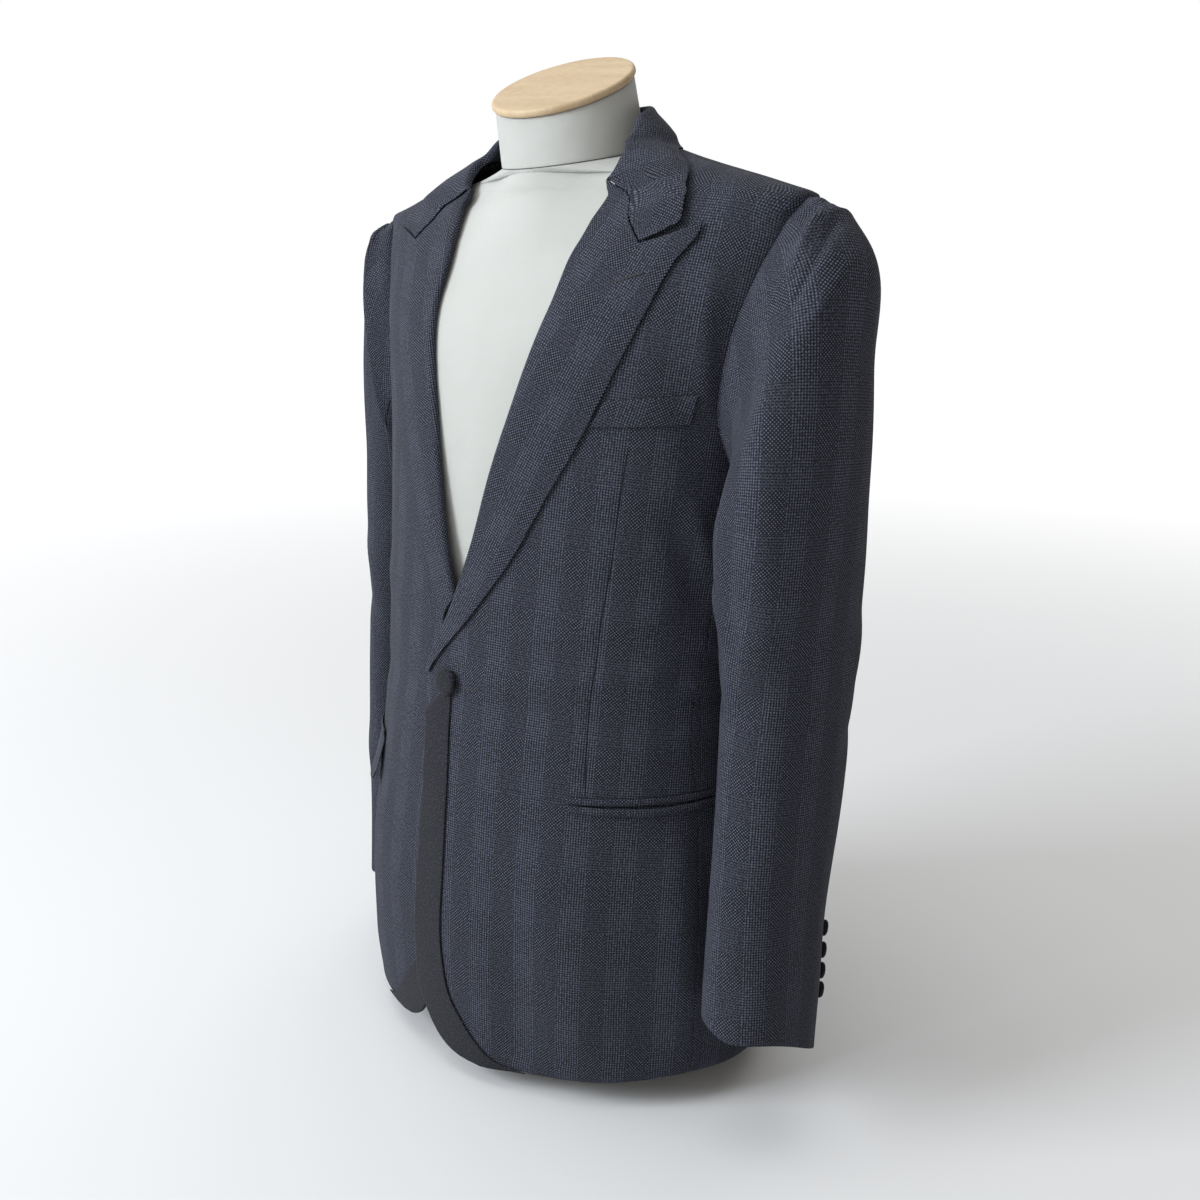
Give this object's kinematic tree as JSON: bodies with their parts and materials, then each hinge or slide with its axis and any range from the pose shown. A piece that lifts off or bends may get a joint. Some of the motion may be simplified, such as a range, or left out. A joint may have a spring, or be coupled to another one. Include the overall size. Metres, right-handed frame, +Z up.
{
  "type": "suit jacket on dress form",
  "caption": "Single-button tailored suit jacket with peaked lapels, worn by a limbless tailor's dress form on a low round foot.",
  "frame": {"origin": "on the floor, at the middle of the underside of the stand's round foot", "axes": "+Z up along the pole; the jacket's front faces -Y and the wearer's left is +X"},
  "size_m": [0.5413, 0.2856, 0.8287],
  "materials": {
    "check_cloth": "matte worsted wool, glen check in grey on charcoal navy",
    "plain_cloth": "matte fine plain cloth, brownish charcoal",
    "form_cover": "matte off-white linen cover",
    "pale_wood": "satin, pale",
    "brown_wood": "satin, brown"
  },
  "bodies": {
    "root": {"form_torso": "form_cover", "form_neck": "form_cover", "neck_cap": "pale_wood", "pole": "brown_wood", "foot": "brown_wood", "front_left": "check_cloth", "front_right": "check_cloth", "side_left": "check_cloth", "side_right": "check_cloth", "back_left": "check_cloth", "back_right": "check_cloth", "lapel_left": "check_cloth", "lapel_right": "check_cloth", "collar_fall": "check_cloth", "collar_stand": "check_cloth", "sleeve_upper_left": "check_cloth", "sleeve_under_left": "check_cloth", "sleeve_upper_right": "check_cloth", "sleeve_under_right": "check_cloth", "band_left": "plain_cloth", "band_right": "plain_cloth", "breast_welt": "check_cloth", "pocket_lip_upper_left": "check_cloth", "pocket_lip_lower_left": "check_cloth", "pocket_lip_upper_right": "check_cloth", "pocket_flap_right": "check_cloth", "front_button": "plain_cloth", "cuff_button_left_1": "plain_cloth", "cuff_button_left_2": "plain_cloth", "cuff_button_left_3": "plain_cloth", "cuff_button_left_4": "plain_cloth", "cuff_button_right_1": "plain_cloth", "cuff_button_right_2": "plain_cloth", "cuff_button_right_3": "plain_cloth", "cuff_button_right_4": "plain_cloth"}
  },
  "joints": []
}
